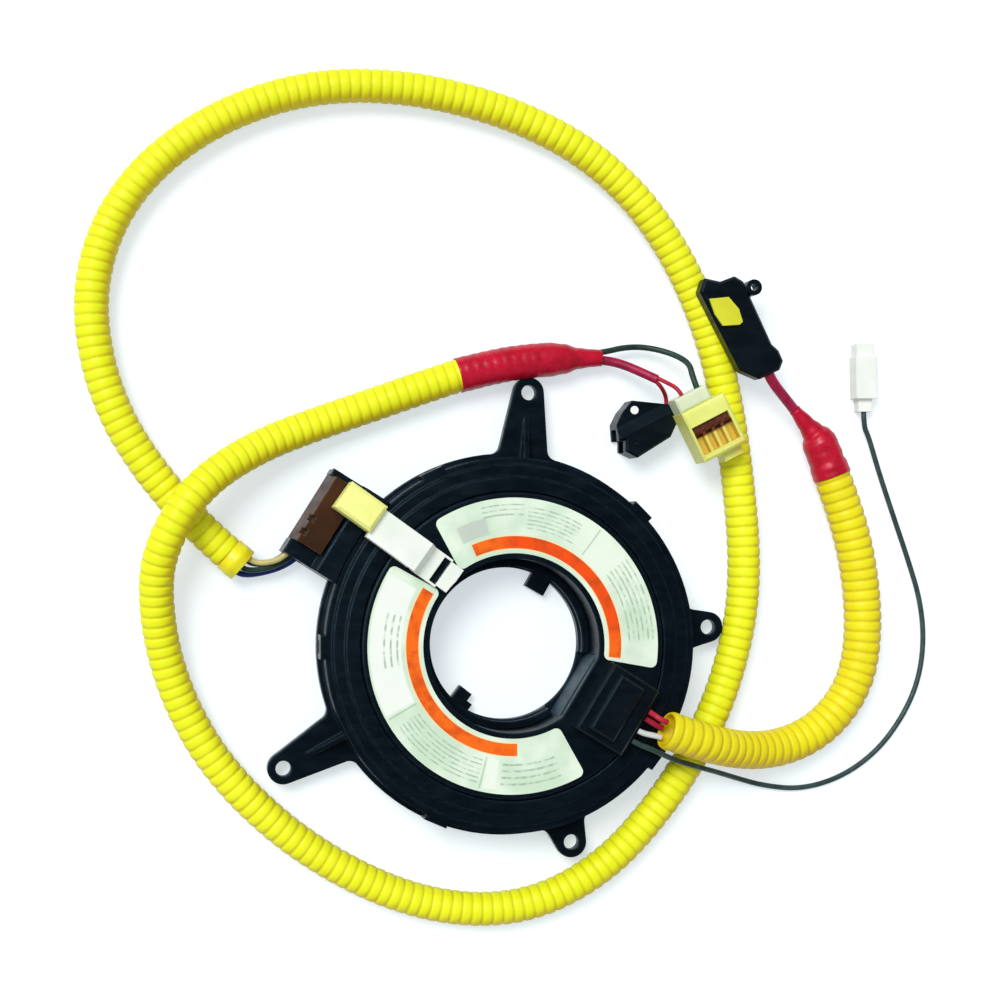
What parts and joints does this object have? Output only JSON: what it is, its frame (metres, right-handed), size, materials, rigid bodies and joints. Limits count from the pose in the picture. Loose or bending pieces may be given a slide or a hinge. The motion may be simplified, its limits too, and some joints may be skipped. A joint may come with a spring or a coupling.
{
  "type": "steering clock spring",
  "caption": "Round housing with a turning centre, wound flat cable, two corrugated cable harnesses, connectors and a removable centring clip.",
  "frame": {"origin": "centre of the shaft bore at the housing's back face", "axes": "+Z along the shaft towards the steering wheel; +Y towards the longer upper ear, a little to its left; +X to the right of it"},
  "size_m": [0.2611, 0.253, 0.0282],
  "materials": {
    "black_plastic": "moulded, slight sheen",
    "grey_plastic": "matte",
    "white_plastic": "satin",
    "pale_yellow_plastic": "satin",
    "yellow_plastic": "satin",
    "brown_plastic": "matte",
    "yellow_conduit": "corrugated, satin",
    "yellow_tape": "wrapped tape",
    "red_sleeve": "heat-shrunk, satin",
    "label": "printed fields",
    "tinned": "plated",
    "copper_film": "flexible film with flat conductors",
    "wire_red": "soft sheath",
    "wire_white": "soft sheath",
    "wire_cream": "soft sheath",
    "wire_black": "soft sheath",
    "wire_green": "soft sheath",
    "wire_blue": "soft sheath",
    "wire_grey": "soft sheath"
  },
  "bodies": {
    "stator": {"housing_tray": "black_plastic", "housing_cover": "black_plastic", "terminal_block": "grey_plastic", "socket_pins": "tinned", "ribbon_cable": "copper_film", "column_plug": "brown_plastic", "plug_wire_cream": "wire_cream", "plug_wire_black": "wire_black", "plug_wire_green": "wire_green", "plug_wire_blue": "wire_blue", "conduit_collar": "yellow_tape", "column_conduit": "yellow_conduit", "column_sleeve": "red_sleeve", "column_lead": "wire_red", "lead_wire_long": "wire_red", "lead_wire_short": "wire_red", "ground_wire": "wire_green", "multi_connector": "pale_yellow_plastic", "contact_bar": "brown_plastic", "multi_rear_cover": "white_plastic", "two_way_connector": "black_plastic", "two_way_seal": "white_plastic", "squib_connector": "black_plastic", "squib_sleeve": "red_sleeve", "squib_lead": "wire_red", "airbag_conduit": "yellow_conduit", "horn_wire": "wire_grey", "horn_connector": "white_plastic"},
    "rotor": {"rotor_disc": "black_plastic", "rotor_sleeve": "black_plastic", "rotor_terminal": "grey_plastic", "rotor_pins": "tinned", "connector_shroud": "black_plastic", "shroud_lid": "black_plastic", "rotor_plug": "black_plastic", "label_upper": "label", "label_lower": "label", "rotor_wire_red": "wire_red", "rotor_wire_crimson": "wire_red", "rotor_wire_white": "wire_white"},
    "shipping_lock": {"lock_strap": "white_plastic", "lock_block": "pale_yellow_plastic"},
    "squib_lock_slide": {"squib_lock": "yellow_plastic"}
  },
  "joints": [
    {"name": "rotor_turn", "type": "hinge", "parent": "stator", "child": "rotor", "pos_m": [0, 0, 0.008], "axis": [0, 0, 1], "range_deg": [-720, 720], "deforming": ["ribbon_cable", "airbag_conduit", "horn_wire"]},
    {"name": "lock_lift", "type": "slide", "parent": "rotor", "child": "shipping_lock", "axis": [0, 0, 1], "range_m": [0, 0.02]},
    {"name": "squib_lock_lift", "type": "slide", "parent": "stator", "child": "squib_lock_slide", "axis": [0, 0, 1], "range_m": [0, 0.003]}
  ]
}
